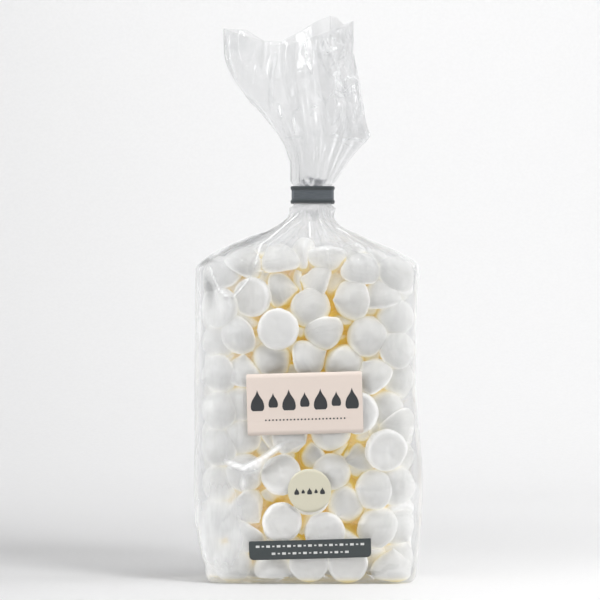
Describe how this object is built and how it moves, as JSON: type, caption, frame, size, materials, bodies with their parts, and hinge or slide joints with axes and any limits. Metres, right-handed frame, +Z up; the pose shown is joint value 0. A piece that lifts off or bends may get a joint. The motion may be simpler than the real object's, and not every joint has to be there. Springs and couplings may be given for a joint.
{
  "type": "clear bag of meringue cookies",
  "caption": "Clear block-bottom film bag filled with small piped meringue cookies, gathered at the neck by a clip band under a flared film tail, with plain stickers on its front.",
  "frame": {"origin": "on the floor under the middle of the filled bag", "axes": "+Z up along the bag's height, -Y towards the front with the stickers, +X to the right seen from the front"},
  "size_m": [0.1296, 0.0805, 0.3139],
  "materials": {
    "film": "thin clear glossy packaging film with creases",
    "meringue": "baked egg-white meringue, dry and matt, off-white",
    "clip": "dark grey plastic strip over two wires, satin",
    "label_pink": "pale pink printed sticker, satin",
    "label_cream": "pale cream translucent sticker, satin",
    "label_dark": "slate grey printed sticker, satin"
  },
  "bodies": {
    "root": {"meringue_bag": "film", "clip_band": "clip", "front_label": "label_pink", "round_label": "label_cream", "base_label": "label_dark"}
  },
  "joints": []
}
